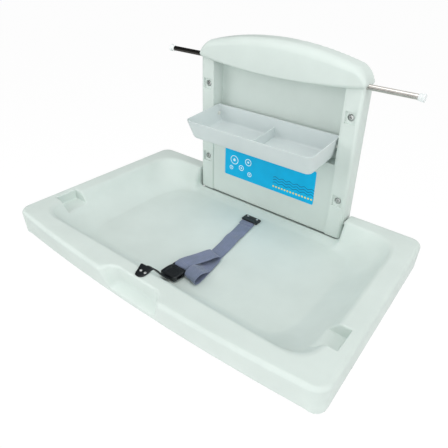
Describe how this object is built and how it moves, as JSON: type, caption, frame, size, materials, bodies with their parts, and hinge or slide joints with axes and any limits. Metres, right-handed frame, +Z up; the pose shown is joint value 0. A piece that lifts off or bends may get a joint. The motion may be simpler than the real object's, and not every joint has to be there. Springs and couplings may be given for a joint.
{
  "type": "wall-mounted baby changing station",
  "caption": "Fold-down wall-mounted baby changing station: moulded bed with grip scoop and safety strap, hinged to a wall unit with hanger bar and folding storage tray.",
  "frame": {"origin": "on the wall, in the middle of the pad on the back of the wall unit, level with the gap between the wall unit and the changing surface", "axes": "+X to the right as the user faces the wall, +Y into the wall, +Z up"},
  "size_m": [0.8684, 0.551, 0.506],
  "materials": {
    "body_plastic": "moulded polyethylene, pale grey-green, matt",
    "tray_plastic": "moulded plastic, pale grey, satin",
    "bright_steel": "polished stainless steel tube",
    "cap_plastic": "pale moulded end cap",
    "nylon": "natural nylon",
    "label_print": "printed blue panel",
    "webbing": "woven grey-blue polyester webbing",
    "black_plastic": "black acetal, satin",
    "zinc_steel": "zinc plated steel"
  },
  "bodies": {
    "wall_unit": {"back_shell": "body_plastic", "bar_cap_left": "cap_plastic", "bar_cap_right": "cap_plastic", "bolt_washer_1": "zinc_steel", "bolt_washer_2": "zinc_steel", "bolt_washer_3": "zinc_steel", "bolt_washer_4": "zinc_steel", "crown_hood": "body_plastic", "hanger_bar": "bright_steel", "hinge_pin_left": "zinc_steel", "hinge_pin_right": "zinc_steel", "label_panel": "label_print", "tray_pin_left": "nylon", "tray_pin_right": "nylon", "wall_bolt_1": "zinc_steel", "wall_bolt_2": "zinc_steel", "wall_bolt_3": "zinc_steel", "wall_bolt_4": "zinc_steel"},
    "bed": {"bed_back_panel": "body_plastic", "bed_body": "body_plastic", "buckle_socket": "black_plastic", "hinge_bush_left": "nylon", "hinge_bush_right": "nylon", "panel_screw_1": "zinc_steel", "panel_screw_2": "zinc_steel", "panel_screw_3": "zinc_steel", "panel_screw_4": "zinc_steel", "panel_screw_5": "zinc_steel", "panel_screw_6": "zinc_steel", "panel_screw_7": "zinc_steel", "panel_screw_8": "zinc_steel", "rear_anchor": "black_plastic", "rear_anchor_screw_1": "zinc_steel", "rear_anchor_screw_2": "zinc_steel", "socket_screw_1": "zinc_steel", "socket_screw_2": "zinc_steel", "strap_webbing": "webbing"},
    "tray": {"storage_tray": "tray_plastic"},
    "plug": {"buckle_plug": "black_plastic"},
    "prong_left": {"plug_prong_left": "black_plastic"},
    "prong_right": {"plug_prong_right": "black_plastic"}
  },
  "joints": [
    {"name": "bed_fold", "type": "hinge", "parent": "wall_unit", "child": "bed", "pos_m": [0, -0.03, 0.045], "axis": [-1, 0, 0], "range_deg": [0, 90], "deforming": ["strap_webbing"]},
    {"name": "tray_fold", "type": "hinge", "parent": "wall_unit", "child": "tray", "pos_m": [0, -0.032, 0.243], "axis": [-1, 0, 0], "range_deg": [0, 94]},
    {"name": "plug_slide", "type": "slide", "parent": "bed", "child": "plug", "axis": [0, 0.9976, -0.0698], "range_m": [0, 0.03], "deforming": ["strap_webbing"]},
    {"name": "prong_left_squeeze", "type": "hinge", "parent": "plug", "child": "prong_left", "pos_m": [-0.01325, -0.39705, 0.00317], "axis": [0, 0.0698, 0.9976], "range_deg": [0, 7], "stiffness_Nm_per_rad": 0.4},
    {"name": "prong_right_squeeze", "type": "hinge", "parent": "plug", "child": "prong_right", "pos_m": [0.01325, -0.39705, 0.00317], "axis": [0, -0.0698, -0.9976], "range_deg": [0, 7], "stiffness_Nm_per_rad": 0.4}
  ],
  "couplings": [
    {"joint": "tray_fold", "follows": "bed_fold", "ratio": 1.0444},
    {"joint": "prong_right_squeeze", "follows": "prong_left_squeeze", "ratio": 1}
  ]
}
